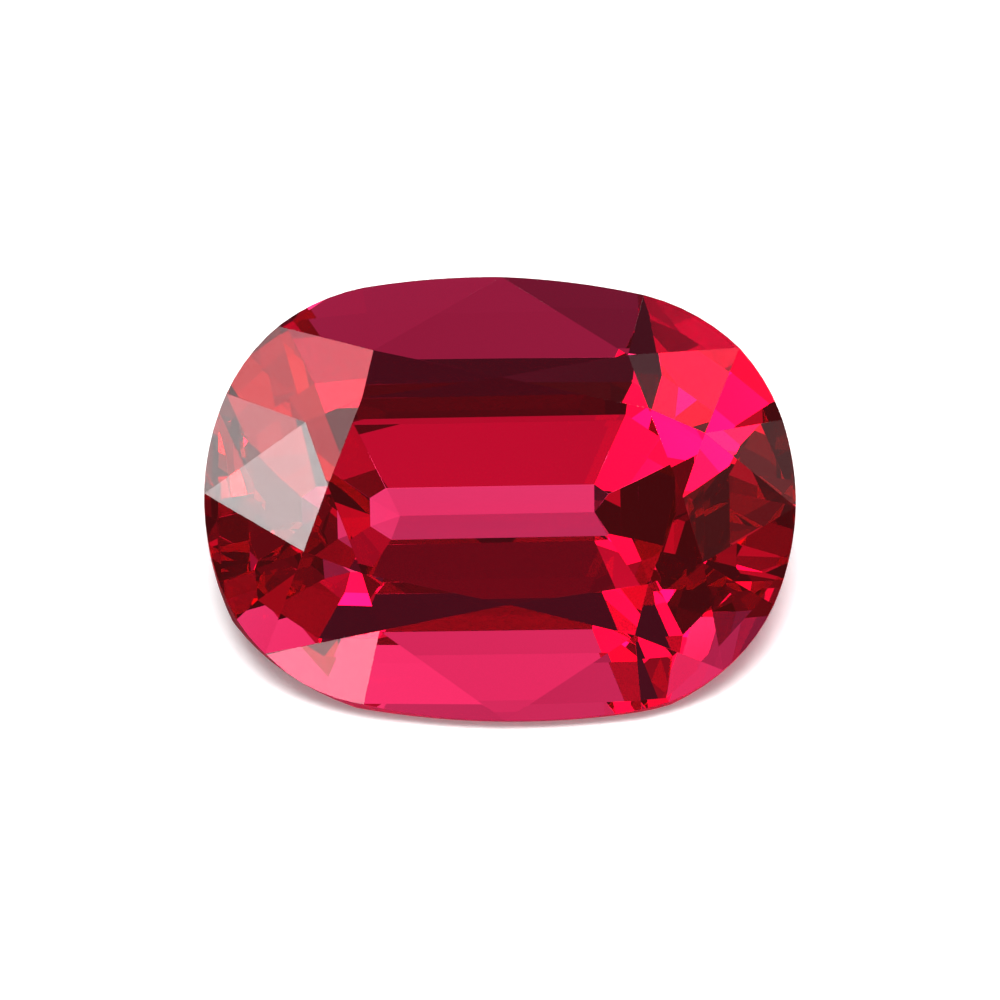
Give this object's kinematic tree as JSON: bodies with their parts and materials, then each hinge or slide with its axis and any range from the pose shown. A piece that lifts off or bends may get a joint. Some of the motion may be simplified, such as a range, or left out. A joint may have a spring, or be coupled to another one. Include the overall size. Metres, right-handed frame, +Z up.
{
  "type": "cut tourmaline gemstone",
  "caption": "Loose pink-red tourmaline cut as a rounded cushion, with a brilliant-cut crown and a step-cut pavilion, lying on one pavilion facet.",
  "frame": {"origin": "on the ground, under the middle of the stone's box as it lies on its rest facet", "axes": "+X along the stone's length, -Y towards the side that the table leans to, +Z up"},
  "size_m": [0.012, 0.0072, 0.0071],
  "materials": {
    "tourmaline": "polished"
  },
  "bodies": {
    "root": {"cut_gem": "tourmaline"}
  },
  "joints": []
}
